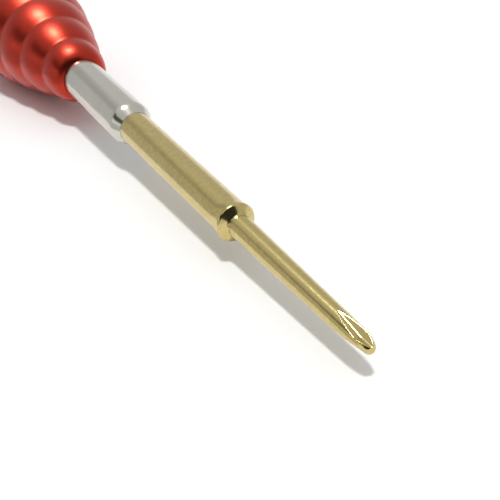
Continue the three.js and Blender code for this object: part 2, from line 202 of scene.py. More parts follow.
# %% Blank of the bit
SHANK_R = 1.5
BLADE_LENGTH = 17.6
BLADE_ROOT_R = 0.97
BLADE_END_R = 0.74
POINT_LENGTH = 2
POINT_FLAT_R = 0.2
FLARE_LENGTH = 1
FLARE = 0.14
SHOULDER_CONE = 0.45
SHOULDER_EASE = 0.16
TAIL_CHAMFER = 0.3
WING_FLUTE_LENGTH = 3.8
FLUTE_RUN_IN = 0.2
FLUTE_STEPS = 68
POINT_STEPS = 40
FLAT_STEPS = 8
BIT_SIDES = 384

tail_end, point = (corner.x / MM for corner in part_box("driver_bit"))
shoulder = point - BLADE_LENGTH
point_start = point - POINT_LENGTH


def blade_r(x):
    share = (x - shoulder) / (BLADE_LENGTH - POINT_LENGTH)
    return BLADE_ROOT_R + (BLADE_END_R - BLADE_ROOT_R) * share


flare_start = (shoulder - FLARE_LENGTH, SHANK_R)
cone_top = (shoulder, SHANK_R + FLARE)
cone_foot = (shoulder + SHOULDER_CONE, blade_r(shoulder + SHOULDER_CONE))
flute_start = point - WING_FLUTE_LENGTH
dense_start = flute_start - FLUTE_RUN_IN
driver_bit = turn("bit_coated_steel", [
    (tail_end, 0),
    (tail_end, SHANK_R - TAIL_CHAMFER),
    (tail_end + TAIL_CHAMFER, SHANK_R),
    *eased_corner((tail_end, SHANK_R), flare_start, cone_top, FLARE_LENGTH / 2),
    *eased_corner(flare_start, cone_top, cone_foot, SHOULDER_EASE),
    *eased_corner(cone_top, cone_foot, (point_start, BLADE_END_R), SHOULDER_EASE),
    *straight((dense_start, blade_r(dense_start)), (point_start, BLADE_END_R), FLUTE_STEPS)[:-1],
    *quarter_round((point_start, BLADE_END_R), (point, POINT_FLAT_R), POINT_STEPS),
    *straight((point, POINT_FLAT_R), (point, 0), FLAT_STEPS)[1:],
], BIT_SIDES)
print("bit runs from", round(tail_end, 2), "to", round(point, 2), "mm")

# %% [markdown]
# The point has three wings with a wide V-shaped flute between each two.
# The floor of a flute slopes down from the surface, then runs level to the end.
# It is rounded a little, as a grinding wheel leaves it.

# %% Flutes of the point
WING_COUNT = 3
WING_RAMP = 2.6
WING_CORE_R = 0.28
WING_FLOOR = 0.08
WING_LEAN = math.radians(64)
WING_EDGE = 0.036
WING_TURN = math.radians(10)
FLOOR_ROUND = 0.03
OUTSIDE_R = 9
LEAST_SPREAD = 1e-6


def flute_r(x, angle):
    share = min((x - flute_start) / WING_RAMP, 1)
    floor = blade_r(flute_start) + (WING_CORE_R - blade_r(flute_start)) * share
    off = abs(from_nearest(angle, WING_COUNT, WING_TURN))
    on_floor = floor / math.cos(off)
    lean = math.tan(WING_LEAN)
    spread = max(math.cos(off) - math.sin(off) / lean, LEAST_SPREAD)
    on_side = min((floor - WING_FLOOR / 2 / lean) / spread, OUTSIDE_R)
    return -soft_min(-on_floor, -on_side, FLOOR_ROUND)


press_in(driver_bit, flute_r, (dense_start, math.inf), WING_EDGE)

# %% [markdown]
# The collar is a thin nickel-plated sleeve, pressed into the handle, with a long chamfer at its front end.

# %% Collar
COLLAR_SIDES = 192
COLLAR_CHAMFER = 1
COLLAR_EASE = 0.45
COLLAR_BORE_GAP = 0.01
COLLAR_SOFT = 0.02

collar_rear, collar_front = (corner.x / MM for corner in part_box("collar"))
collar_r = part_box("collar")[1].z / MM
collar_bore_r = SHANK_R + COLLAR_BORE_GAP
chamfer_top = (collar_front - COLLAR_CHAMFER, collar_r)
chamfer_foot = (collar_front, collar_bore_r)
collar = turn("collar_nickel", [
    (collar_rear, collar_bore_r),
    (collar_rear, collar_r),
    *eased_corner((collar_rear, collar_r), chamfer_top, chamfer_foot, COLLAR_EASE),
    chamfer_foot,
    (collar_rear, collar_bore_r),
], COLLAR_SIDES)
soften(collar, COLLAR_SOFT)
print("collar is", round(collar_front - collar_rear, 2), "mm long")

# %% [markdown]
# The handle is turned from one aluminium bar: beads on the nose, a bulge, a grooved waist,
# a barrel, a slim neck, and a flange that keeps the tool from rolling.
# Only the round outline is made here. The flats and the grip flutes follow.

# %% Blank of the handle
HANDLE_SIDES = 240
BULGE_R = 6.2
NOSE_LENGTH = 16.5
NOSE_POWER = 1.35
NOSE_CONE_R = 2.35
NOSE_BORE_GAP = 0.03
BEAD_COUNT = 4
BEAD_PITCH = 3.7
RIM_BEAD = 3.2
RIM_PART = 0.86
BEAD_DEPTH = 0.26
BEAD_STEPS = 24
CREST_STEPS = 5
GROOVE_SOFT = 0.05
BULGE_RUN = 9
WAIST_R = 4.7
WAIST_GROOVES = (2.1, 4.5, 6.9)
WAIST_GROOVE_WIDTH = 1.2
WAIST_GROOVE_DEPTH = 0.35
WAIST_LENGTH = 9
BARREL_R = 5.5
BARREL_RAMP = 4
BARREL_LENGTH = 26
NECK_R = 4.8
COVE_RISE = 2.6
FLANGE_LENGTH = 4.5
FLANGE_CHAMFER = 1.1
FLANGE_EDGE = 0.2
SCREW_HOLE_R = 1.23
SCREW_HOLE_DEPTH = 7.3
BORE_DEPTH = 24.3
CHAMFER_STEPS = 14
FLANGE_STEPS = 6
COVE_STEPS = 20
BARREL_STEPS = 64
BULGE_STEPS = 28
NOSE_STEPS = 12

handle_rear, nose_rim = (corner.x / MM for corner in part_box("handle_body"))
flange_corner_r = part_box("handle_body")[1].y / MM
flange_flat_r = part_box("handle_body")[1].z / MM
nose_bore_r = collar_r + NOSE_BORE_GAP
bulge = nose_rim - NOSE_LENGTH
waist_front = bulge - BULGE_RUN
waist_rear = waist_front - WAIST_LENGTH
barrel_front = waist_rear - BARREL_RAMP
barrel_rear = barrel_front - BARREL_LENGTH
neck_front = barrel_rear - BARREL_RAMP
flange_front = handle_rear + FLANGE_LENGTH
first_groove = nose_rim - RIM_BEAD - (BEAD_COUNT - 1) * BEAD_PITCH


def nose_r(x):
    share = max(0, (x - bulge) / NOSE_LENGTH)
    return BULGE_R - (BULGE_R - NOSE_CONE_R) * share ** NOSE_POWER


def on_bead(start, end, share):
    (x0, r0), (x1, r1) = start, end
    swell = 4 * BEAD_DEPTH * share * (1 - share)
    softened = -soft_min(-swell, -GROOVE_SOFT / 2, GROOVE_SOFT)
    return x0 + (x1 - x0) * share, r0 + (r1 - r0) * share + softened


def bead_outline():
    places = [first_groove + i * BEAD_PITCH for i in range(BEAD_COUNT)]
    grooves = [(x, nose_r(x) - BEAD_DEPTH) for x in places]
    outline = []
    for start, end in zip(grooves, grooves[1:]):
        outline += [on_bead(start, end, share) for share in shares(BEAD_STEPS)[:-1]]
    last, rim = grooves[-1], (nose_rim, NOSE_CONE_R)
    crest_share = 0.5 - (last[1] - NOSE_CONE_R) / (8 * BEAD_DEPTH)
    outline += [on_bead(last, rim, share * crest_share) for share in shares(CREST_STEPS)]
    return outline + quarter_round(outline[-1], (nose_rim, nose_bore_r), BEAD_STEPS, RIM_PART)[1:]


def bulge_front_outline():
    points = []
    for share in shares(NOSE_STEPS)[1:-1]:
        x = bulge + (first_groove - bulge) * share
        points.append((x, nose_r(x) - BEAD_DEPTH * share ** 2))
    return points


def waist_outline():
    points = []
    for middle in WAIST_GROOVES:
        groove = waist_rear + middle
        points += ring_groove(groove, WAIST_GROOVE_WIDTH, WAIST_GROOVE_DEPTH, lambda x: WAIST_R)
    return points


small_end_r = flange_flat_r - FLANGE_EDGE
edge_rear = (handle_rear + FLANGE_CHAMFER, flange_corner_r)
edge_front = (flange_front - FLANGE_CHAMFER, flange_corner_r)
screw_hole_end = handle_rear + SCREW_HOLE_DEPTH
bore_end = nose_rim - BORE_DEPTH
handle_body = turn("handle_red_anodised", [
    (screw_hole_end, 0),
    (screw_hole_end, SCREW_HOLE_R),
    (handle_rear, SCREW_HOLE_R),
    *straight((handle_rear, small_end_r), edge_rear, CHAMFER_STEPS)[:-1],
    *straight(edge_rear, edge_front, FLANGE_STEPS)[:-1],
    *straight(edge_front, (flange_front, small_end_r), CHAMFER_STEPS),
    *quarter_round((neck_front, NECK_R), (flange_front, NECK_R + COVE_RISE), COVE_STEPS)[::-1][:-1],
    *ramp((neck_front, NECK_R), (barrel_rear, BARREL_R))[:-1],
    *straight((barrel_rear, BARREL_R), (barrel_front, BARREL_R), BARREL_STEPS)[:-1],
    *ramp((barrel_front, BARREL_R), (waist_rear, WAIST_R)),
    *waist_outline(),
    *ramp((waist_front, WAIST_R), (bulge, BULGE_R), BULGE_STEPS),
    *bulge_front_outline(),
    *bead_outline(),
    (bore_end, nose_bore_r),
    (bore_end, 0),
], HANDLE_SIDES)
print("handle runs from", round(handle_rear, 2), "to", round(nose_rim, 2), "mm")

# %% [markdown]
# A row of shallow flutes along the barrel gives the fingers a grip.
# Six flats on the flange stop the tool from rolling off the bench.
# The flutes are what a ball-nosed cutter leaves: a round section, with each end a quarter of a ball.

# %% Grip flutes and flats
FLUTE_COUNT = 12
FLUTE_CUTTER_R = 1.3
FLUTE_DEPTH = 0.5
FLUTE_MARGIN = 2
FLUTE_EDGE = 0.14
FLAT_COUNT = 6
FLAT_EDGE = 0.16
FLAT_MARGIN = 0.1

cutter_path_r = BARREL_R + FLUTE_CUTTER_R - FLUTE_DEPTH
flute_rear = barrel_rear + FLUTE_MARGIN
flute_front = barrel_front - FLUTE_MARGIN


def grip_flute_r(x, angle):
    past_end = max(flute_rear + FLUTE_CUTTER_R - x, x - (flute_front - FLUTE_CUTTER_R), 0)
    cutter_r = math.sqrt(max(FLUTE_CUTTER_R ** 2 - past_end ** 2, 0))
    off = from_nearest(angle, FLUTE_COUNT, 0)
    inside = cutter_r ** 2 - (cutter_path_r * math.sin(off)) ** 2
    return cutter_path_r * math.cos(off) - math.sqrt(inside) if inside > 0 else math.inf


def flat_r(x, angle):
    return flange_flat_r / math.cos(from_nearest(angle, FLAT_COUNT, 0))


press_in(handle_body, grip_flute_r, (barrel_rear, barrel_front), FLUTE_EDGE)
press_in(handle_body, flat_r, (handle_rear - FLAT_MARGIN, flange_front + FLAT_MARGIN), FLAT_EDGE)

# %% [markdown]
# The swivel cap is what the palm presses on. It spins on the bearing while the fingers turn the handle.
# Its hollow holds the bearing and the screw's head, and a nickel disc closes it.

# %% Swivel cap
CAP_SIDES = 192
CAP_ROUND = 2
CAP_CHAMFER = 0.4
CAP_TAPER = 0.6
CAP_R = 8.43
CAP_GROOVE_WIDTH = 1.2
CAP_GROOVE_DEPTH = 0.35
CAP_GROOVES = (-6.6, -4.4, -2.2)
CHAMBER_R = 3.53
SNAP_GROOVE_R = 3.91
WEB_HOLE_R = 2.7
PRESS_GAP = 0.03
LID_RIM = 0.2
CAP_SOFT = 0.08
CAP_ROUND_STEPS = 20

cap_rear, cap_front = (corner.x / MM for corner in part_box("cap_body"))
lid_outer, lid_inner = (corner.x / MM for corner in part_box("cap_lid"))
lid_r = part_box("cap_lid")[1].z / MM
bearing_rear, bearing_front = (corner.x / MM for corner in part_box("bearing_outer_ring"))
ring_rear, ring_front = (corner.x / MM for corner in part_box("retaining_ring"))
lid_seat_r = lid_r + PRESS_GAP
round_end = cap_rear + CAP_ROUND


def cap_outside_r(x):
    return CAP_R - CAP_TAPER * (cap_front - x) / (cap_front - round_end)


rim_r = max(cap_outside_r(round_end) - CAP_ROUND, lid_seat_r + LID_RIM)
cap_body = turn("cap_red_anodised", [
    (cap_rear, lid_seat_r),
    *quarter_round((round_end, cap_outside_r(round_end)), (cap_rear, rim_r), CAP_ROUND_STEPS)[::-1],
    *(
        p for middle in CAP_GROOVES
        for p in ring_groove(cap_front + middle, CAP_GROOVE_WIDTH, CAP_GROOVE_DEPTH, cap_outside_r)
    ),
    (cap_front - CAP_CHAMFER, cap_outside_r(cap_front - CAP_CHAMFER)),
    (cap_front, CAP_R - CAP_CHAMFER),
    (cap_front, WEB_HOLE_R),
    (bearing_front, WEB_HOLE_R),
    (bearing_front, CHAMBER_R),
    (bearing_rear, CHAMBER_R),
    (bearing_rear, SNAP_GROOVE_R),
    (ring_rear - PRESS_GAP, SNAP_GROOVE_R),
    (ring_rear - PRESS_GAP, CHAMBER_R),
    (lid_inner, CHAMBER_R),
    (lid_inner, lid_seat_r),
    (cap_rear, lid_seat_r),
], CAP_SIDES)
soften(cap_body, CAP_SOFT)
print("cap is", round(cap_front - cap_rear, 2), "mm long")

# %% [markdown]
# The lid is a turned disc with a ring groove, and a shallow dish so that a fingertip finds its middle.

# %% Lid of the cap
LID_CHAMFER = 0.2
LID_GROOVE_R = 4.9
LID_GROOVE_HALF = 0.22
LID_GROOVE_DEPTH = 0.16
DISH_R = 2.4
DISH_DEPTH = 0.3
LID_SOFT = 0.04
DISH_STEPS = 18
LID_GROOVE_STEPS = 10


def lid_dish():
    return [(DISH_DEPTH * (1 + math.cos(s * math.pi)) / 2, DISH_R * s) for s in shares(DISH_STEPS)]


def lid_groove():
    points = []
    for share in shares(LID_GROOVE_STEPS):
        r = LID_GROOVE_R + (2 * share - 1) * LID_GROOVE_HALF
        points.append((LID_GROOVE_DEPTH * math.sin(share * math.pi), r))
    return points


cap_lid = turn("lid_nickel", [
    *lid_dish(),
    *lid_groove(),
    (lid_outer, lid_r - LID_CHAMFER),
    (lid_outer + LID_CHAMFER, lid_r),
    (lid_inner, lid_r),
    (lid_inner, 0),
], CAP_SIDES)
soften(cap_lid, LID_SOFT)
print("lid is", round(2 * lid_r, 2), "mm across")

# %% [markdown]
# A spring ring, open on one side, snaps into a groove of the cap and keeps the bearing in.
# It is a flat section swept most of the way round, so the same Spin makes it, with less than a full turn.

# %% Retaining ring
RING_SIDES = 120
RING_WIDTH = 0.75
RING_MOUTH = math.radians(70)
RING_SOFT = 0.05


def swept_ring(name, rear, front, inner_r, outer_r, sweep):
    bpy.ops.object.select_all(action="DESELECT")
    middle = ((rear + front) / 2 * MM, 0, (inner_r + outer_r) / 2 * MM)
    size = ((front - rear) * MM, (outer_r - inner_r) * MM, 1)
    bpy.ops.mesh.primitive_plane_add(size=1, location=middle, rotation=(math.pi / 2, 0, 0))
    piece = bpy.context.object
    piece.name = piece.data.name = name
    piece.scale = size
    bpy.ops.object.transform_apply(location=True, rotation=True, scale=True)
    piece.data.transform(Matrix.Rotation(-sweep / 2, 4, "X"))
    bpy.ops.object.mode_set(mode="EDIT")
    bpy.ops.mesh.select_all(action="SELECT")
    bpy.ops.mesh.spin(steps=RING_SIDES, angle=sweep, center=(0, 0, 0), axis=(1, 0, 0))
    bpy.ops.mesh.select_all(action="SELECT")
    bpy.ops.mesh.remove_doubles(threshold=WELD)
    bpy.ops.mesh.normals_make_consistent(inside=False)
    bpy.ops.object.mode_set(mode="OBJECT")
    return piece


ring_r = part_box("retaining_ring")[1].z / MM
retaining_ring = swept_ring(
    "retaining_ring_spring_steel", ring_rear, ring_front,
    ring_r - RING_WIDTH, ring_r, 2 * math.pi - RING_MOUTH,
)
soften(retaining_ring, RING_SOFT)
print("retaining ring spans", [round(v / MM, 2) for v in retaining_ring.dimensions])

# %% [markdown]
# A small ball bearing carries the cap.
# It has two rings with round races, seven balls, a cage and two dust shields.
# The races are arcs of a circle a little larger than a ball.

# %% Bearing rings and shields
BEARING_SIDES = 126
BALL_R = 0.6
RACE_R = 0.66
BALL_CIRCLE_R = 2.5
BORE_R = 1.5
INNER_LAND_R = 2.1
OUTER_LAND_R = 2.9
SHIELD_SEAT_R = 3.06
SHIELD_STEP = 0.31
SHIELD_INNER_R = 2.22
BEARING_SOFT = 0.04
RACE_STEPS = 16

bearing_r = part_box("bearing_outer_ring")[1].z / MM
bearing_middle = (bearing_rear + bearing_front) / 2


def race(land_r):
    side = math.copysign(1, land_r - BALL_CIRCLE_R)
    edge = math.acos(abs(land_r - BALL_CIRCLE_R) / RACE_R)
    angles = [edge * (2 * share - 1) for share in shares(RACE_STEPS)]
    arc = [(RACE_R * math.sin(a), side * RACE_R * math.cos(a)) for a in angles]
    return [(bearing_middle + along, BALL_CIRCLE_R + out) for along, out in arc]


inner_ring = turn("bearing_inner_ring_steel", [
    (bearing_rear, BORE_R),
    (bearing_rear, INNER_LAND_R),
    *race(INNER_LAND_R),
    (bearing_front, INNER_LAND_R),
    (bearing_front, BORE_R),
    (bearing_rear, BORE_R),
], BEARING_SIDES)
outer_ring = turn("bearing_outer_ring_steel", [
    (bearing_rear, bearing_r),
    (bearing_front, bearing_r),
    (bearing_front, SHIELD_SEAT_R),
    (bearing_front - SHIELD_STEP, SHIELD_SEAT_R),
    (bearing_front - SHIELD_STEP, OUTER_LAND_R),
    *race(OUTER_LAND_R)[::-1],
    (bearing_rear + SHIELD_STEP, OUTER_LAND_R),
    (bearing_rear + SHIELD_STEP, SHIELD_SEAT_R),
    (bearing_rear, SHIELD_SEAT_R),
    (bearing_rear, bearing_r),
], BEARING_SIDES)


def tube(name, node, inner_r):
    low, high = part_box(node)
    rear, front, outer_r = low.x / MM, high.x / MM, high.z / MM
    corners = [(rear, inner_r), (rear, outer_r), (front, outer_r), (front, inner_r), (rear, inner_r)]
    return turn(name, corners, BEARING_SIDES)


shield_rear = tube("shield_rear_steel", "shield_rear", SHIELD_INNER_R)
shield_front = tube("shield_front_steel", "shield_front", SHIELD_INNER_R)
head_washer = tube("head_washer_steel", "head_washer", BORE_R)
spacer_tube = tube("spacer_tube_steel", "spacer_tube", BORE_R)
for piece in (inner_ring, outer_ring, shield_rear, shield_front, head_washer, spacer_tube):
    soften(piece, BEARING_SOFT)
print("bearing is", round(2 * bearing_r, 2), "mm across")

# %% [markdown]
# A ball from Blender's UV sphere has poles that show in a mirror-bright finish.
# A cube that is subdivided and then pushed out to a sphere has none.
# One ball is made, and the others are copies of it.

# %% Balls
BALL_COUNT = 7
BALL_CUTS = 11

bpy.ops.object.select_all(action="DESELECT")
ball_place = (bearing_middle * MM, 0, BALL_CIRCLE_R * MM)
bpy.ops.mesh.primitive_cube_add(size=BALL_R * MM, location=ball_place)
first_ball = bpy.context.object
bpy.ops.object.mode_set(mode="EDIT")
bpy.ops.mesh.select_all(action="SELECT")
bpy.ops.mesh.subdivide(number_cuts=BALL_CUTS)
bpy.ops.object.mode_set(mode="OBJECT")
for vertex in first_ball.data.vertices:
    vertex.co = vertex.co.normalized() * BALL_R * MM
bpy.ops.object.transform_apply(location=True)
balls = [first_ball]
for number in range(1, BALL_COUNT):
    ball = first_ball.copy()
    ball.data = first_ball.data.copy()
    bpy.context.scene.collection.objects.link(ball)
    ball.data.transform(Matrix.Rotation(number * 2 * math.pi / BALL_COUNT, 4, "X"))
    balls.append(ball)
for number, ball in enumerate(balls, 1):
    ball.name = ball.data.name = f"ball_{number}_steel"
    finish_shading(ball)
print("made", len(balls), "balls")

# %% [markdown]
# The cage is a thin ring with a round pocket for each ball.
# Here a Boolean is right: the pockets are holes, and their edges are sharp on a real stamped cage.
# The cutters are turned a little, so that none of their corners falls on a corner of the ring.

# %% Cage
CAGE_INNER_R = 2.25
POCKET_DETAIL = 4
POCKET_SKEW = 0.1
SLIVER = 2e-3 * MM


def cut_away(piece, cutter):
    cut = piece.modifiers.new("cut", "BOOLEAN")
    cut.operation = "DIFFERENCE"
    cut.object = cutter
    apply_modifier(piece, cut)
    bpy.data.objects.remove(cutter)
    bpy.ops.object.mode_set(mode="EDIT")
    bpy.ops.mesh.select_all(action="SELECT")
    bpy.ops.mesh.remove_doubles(threshold=SLIVER)
    bpy.ops.mesh.dissolve_degenerate(threshold=SLIVER)
    bpy.ops.object.mode_set(mode="OBJECT")
    finish_shading(piece)


bearing_cage = tube("bearing_cage_steel", "bearing_cage", CAGE_INNER_R)
bpy.ops.object.select_all(action="DESELECT")
for number in range(BALL_COUNT):
    angle = number * 2 * math.pi / BALL_COUNT
    turned_by = Matrix.Rotation(angle, 4, "X")
    bpy.ops.mesh.primitive_ico_sphere_add(
        subdivisions=POCKET_DETAIL, radius=RACE_R * MM, location=turned_by @ Vector(ball_place),
        rotation=(angle + POCKET_SKEW, 0, 0),
    )
    if number == 0:
        pockets = bpy.context.object
    else:
        bpy.context.object.select_set(True)
        pockets.select_set(True)
        bpy.context.view_layer.objects.active = pockets
        bpy.ops.object.join()
cut_away(bearing_cage, pockets)
print("cage has", len(bearing_cage.data.polygons), "faces")

# %% [markdown]
# A shoulder screw with a socket head is the cap's axle.
# Its head holds the bearing, and its thread goes into the handle.
# The thread is a real helix: the depth of the press depends on the place along the screw and around it.

# %% Axle screw
HEAD_LENGTH = 1.8
AXLE_R = 1.47
THREAD_R = 1.2
THREAD_PITCH = 0.45
THREAD_DEPTH = 0.2
THREAD_EDGE = 0.04
THREAD_RUN_IN = 0.2
THREAD_END_GAP = 0.01
THREAD_STEPS = 160
SCREW_SIDES = 96
SOCKET_SIDES = 6
SOCKET_R = 1.05
SOCKET_DEPTH = 1.1

head_rear, thread_end = (corner.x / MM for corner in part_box("axle_screw"))
head_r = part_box("axle_screw")[1].z / MM
axle_screw = turn("axle_screw_steel", [
    (head_rear, 0),
    (head_rear, head_r),
    (head_rear + HEAD_LENGTH, head_r),
    (head_rear + HEAD_LENGTH, AXLE_R),
    (handle_rear, AXLE_R),
    *straight((handle_rear, THREAD_R), (thread_end, THREAD_R), THREAD_STEPS),
    (thread_end, 0),
], SCREW_SIDES)


def thread_r(x, angle):
    turn_share = ((x - handle_rear) / THREAD_PITCH - angle / (2 * math.pi)) % 1
    return THREAD_R - THREAD_DEPTH * (1 - abs(2 * turn_share - 1))


threaded = (handle_rear + THREAD_RUN_IN, thread_end - THREAD_END_GAP)
press_in(axle_screw, thread_r, threaded, THREAD_EDGE)
bpy.ops.object.select_all(action="DESELECT")
bpy.ops.mesh.primitive_cylinder_add(
    vertices=SOCKET_SIDES, radius=SOCKET_R * MM, depth=2 * SOCKET_DEPTH * MM,
    location=(head_rear * MM, 0, 0), rotation=(0, math.pi / 2, 0),
)
socket = bpy.context.object
cut_away(axle_screw, socket)
print("axle screw is", round(thread_end - head_rear, 2), "mm long")

# %% [markdown]
# Real edges are a little brighter than the faces beside them, because coats wear thin there.
# A material can't see edges, so each mesh gets an attribute that is 0 on a flat or hollow place
# and grows where its faces meet at an outward angle.

# %% Mark the edges
EDGE_ANGLE = math.radians(22)


def mark_edges(piece):
    shape = bmesh.new()
    shape.from_mesh(piece.data)
    outward = [0.0] * len(shape.verts)
    for edge in shape.edges:
        if len(edge.link_faces) == 2:
            bend = min(max(edge.calc_face_angle_signed(0) / EDGE_ANGLE, 0), 1)
            for vertex in edge.verts:
                outward[vertex.index] = max(outward[vertex.index], bend)
    shape.free()
    attribute = piece.data.attributes.new("edge", "FLOAT", "POINT")
    attribute.data.foreach_set("value", outward)


every_piece = [
    driver_bit, collar, handle_body, cap_body, cap_lid, retaining_ring, inner_ring, outer_ring, shield_rear,
    shield_front, head_washer, spacer_tube, bearing_cage, axle_screw, *balls,
]
for piece in every_piece:
    mark_edges(piece)
print("marked the edges of", len(every_piece), "pieces")

# %% [markdown]
# Three effects are shared by the metals, so each is a node group with named sockets.
# Machined grain is noise stretched around the axis, as a lathe tool leaves it.
# Handling marks are faint smears, patches of them and a few tiny specks.
# Edge wear is the attribute, broken up by noise.

# %% Node groups
PATCH_RANGE = (0.36, 0.64)
SPECK_CHANCE = 0.14
SPECK_R = 0.09


def new_group(name, inputs, outputs):
    group = bpy.data.node_groups.new(name, "ShaderNodeTree")
    for socket_name, value in inputs:
        socket = group.interface.new_socket(socket_name, in_out="INPUT", socket_type="NodeSocketFloat")
        socket.default_value = value
    for socket_name in outputs:
        group.interface.new_socket(socket_name, in_out="OUTPUT", socket_type="NodeSocketFloat")
    start = group.nodes.new("NodeGroupInput")
    end = group.nodes.new("NodeGroupOutput")
    return group, start, end


def add(tree, kind, links=(), **settings):
    node = tree.nodes.new(kind)
    for key, value in settings.items():
        setattr(node, key, value)
    for socket, source in links:
        if isinstance(source, bpy.types.NodeSocket):
            tree.links.new(source, node.inputs[socket])
        else:
            node.inputs[socket].default_value = source
    return node


def math_node(tree, operation, first, second, clamp=False):
    node = add(tree, "ShaderNodeMath", [(0, first), (1, second)], operation=operation, use_clamp=clamp)
    return node.outputs[0]


def build_machined_grain():
    group, start, end = new_group("machined_grain", [("Along", 6000), ("Around", 150)], ["Grain"])
    coordinates = add(group, "ShaderNodeTexCoord")
    scale = add(group, "ShaderNodeCombineXYZ", [
        ("X", start.outputs["Along"]), ("Y", start.outputs["Around"]), ("Z", start.outputs["Around"]),
    ])
    stretched = add(
        group, "ShaderNodeVectorMath", [(0, coordinates.outputs["Object"]), (1, scale.outputs[0])],
        operation="MULTIPLY",
    )
    noise = add(group, "ShaderNodeTexNoise", [
        ("Vector", stretched.outputs[0]), ("Scale", 1), ("Detail", 5), ("Roughness", 0.6),
    ])
    group.links.new(noise.outputs[0], end.inputs["Grain"])
    return group


def build_handling_marks():
    group, start, end = new_group(
        "handling_marks", [("Smear Size", 260), ("Speck Size", 900)], ["Smear", "Patch", "Speck"]
    )
    coordinates = add(group, "ShaderNodeTexCoord").outputs["Object"]
    smear = add(group, "ShaderNodeTexNoise", [
        ("Vector", coordinates), ("Scale", start.outputs["Smear Size"]), ("Detail", 3), ("Distortion", 0.2),
    ])
    cells = add(group, "ShaderNodeTexVoronoi", [
        ("Vector", coordinates), ("Scale", start.outputs["Speck Size"]), ("Randomness", 1),
    ])
    chosen = math_node(group, "GREATER_THAN", cells.outputs["Color"], 1 - SPECK_CHANCE)
    dot = math_node(group, "LESS_THAN", cells.outputs["Distance"], SPECK_R)
    patch = add(group, "ShaderNodeMapRange", [
        ("Value", smear.outputs[0]), ("From Min", PATCH_RANGE[0]), ("From Max", PATCH_RANGE[1]),
    ], interpolation_type="SMOOTHSTEP")
    group.links.new(smear.outputs[0], end.inputs["Smear"])
    group.links.new(patch.outputs[0], end.inputs["Patch"])
    group.links.new(math_node(group, "MULTIPLY", chosen, dot), end.inputs["Speck"])
    return group


def build_edge_wear():
    group, start, end = new_group("edge_wear", [("Amount", 0.6), ("Patch Size", 900)], ["Wear"])
    edge = add(group, "ShaderNodeAttribute", attribute_name="edge").outputs["Fac"]
    coordinates = add(group, "ShaderNodeTexCoord").outputs["Object"]
    patches = add(group, "ShaderNodeTexNoise", [
        ("Vector", coordinates), ("Scale", start.outputs["Patch Size"]), ("Detail", 4),
    ])
    broken = math_node(group, "MULTIPLY", edge, patches.outputs[0])
    group.links.new(math_node(group, "MULTIPLY", broken, start.outputs["Amount"], True), end.inputs["Wear"])
    return group


machined_grain = build_machined_grain()
handling_marks = build_handling_marks()
edge_wear = build_edge_wear()
print("node groups:", [group.name for group in bpy.data.node_groups])

# %% [markdown]
# One recipe makes all the metals.
# Colour is mixed from the streaked coat, its worn edges, faint patches and specks of dirt.
# Roughness follows the smears. A slight bump gives the grain its relief, and the gold coat tiny dents.
# Values that are the same all over are set on the Principled shader itself.

# %% Metals
STREAK_TONES = (0.93, 1.13)
CLOUD_TONE = 0.8
SPECK_SHARE = 0.35
SPECK_TONE = 0.3


def mix_colour(tree, factor, first, second):
    node = add(tree, "ShaderNodeMix", data_type="RGBA")
    for name, value in (("A", first), ("B", second)):
        socket = next(s for s in node.inputs if s.name == name and s.type == "RGBA")
        if isinstance(value, bpy.types.NodeSocket):
            tree.links.new(value, socket)
        else:
            socket.default_value = (*value, 1)
    tree.links.new(factor, node.inputs["Factor"])
    return next(s for s in node.outputs if s.type == "RGBA")


def group_node(tree, group, **values):
    node = add(tree, "ShaderNodeGroup", node_tree=group)
    for name, value in values.items():
        node.inputs[name.replace("_", " ")].default_value = value
    return node


def metal(
    name, coat, worn, roughness, grain_along, grain_around, relief, smear, wear,
    smear_size=260, patchy=0.2, dents=0,
):
    material = bpy.data.materials.new(name)
    material.use_nodes = True
    tree = material.node_tree
    shader = tree.nodes["Principled BSDF"]
    grain = group_node(tree, machined_grain, Along=grain_along, Around=grain_around)
    marks = group_node(tree, handling_marks, Smear_Size=smear_size)
    edges = group_node(tree, edge_wear, Amount=wear)
    dull, bright = (tuple(tone * c for c in coat) for tone in STREAK_TONES)
    streaked = mix_colour(tree, grain.outputs["Grain"], dull, bright)
    rubbed = mix_colour(tree, edges.outputs["Wear"], streaked, worn)
    cloud = math_node(tree, "MULTIPLY", marks.outputs["Patch"], patchy)
    clouded = mix_colour(tree, cloud, rubbed, tuple(CLOUD_TONE * c for c in coat))
    speck = math_node(tree, "MULTIPLY", marks.outputs["Speck"], SPECK_SHARE)
    spotted = mix_colour(tree, speck, clouded, tuple(SPECK_TONE * c for c in coat))
    tree.links.new(spotted, shader.inputs["Base Color"])
    smeared = math_node(tree, "MULTIPLY", marks.outputs["Smear"], smear)
    rough = math_node(tree, "ADD", smeared, roughness - smear / 2)
    tree.links.new(rough, shader.inputs["Roughness"])
    dented = math_node(tree, "MULTIPLY", marks.outputs["Smear"], dents)
    bump = add(tree, "ShaderNodeBump", [
        ("Height", math_node(tree, "ADD", grain.outputs["Grain"], dented)),
        ("Strength", 1), ("Distance", relief * MM),
    ])
    tree.links.new(bump.outputs[0], shader.inputs["Normal"])
    shader.inputs["Metallic"].default_value = 1
    return material


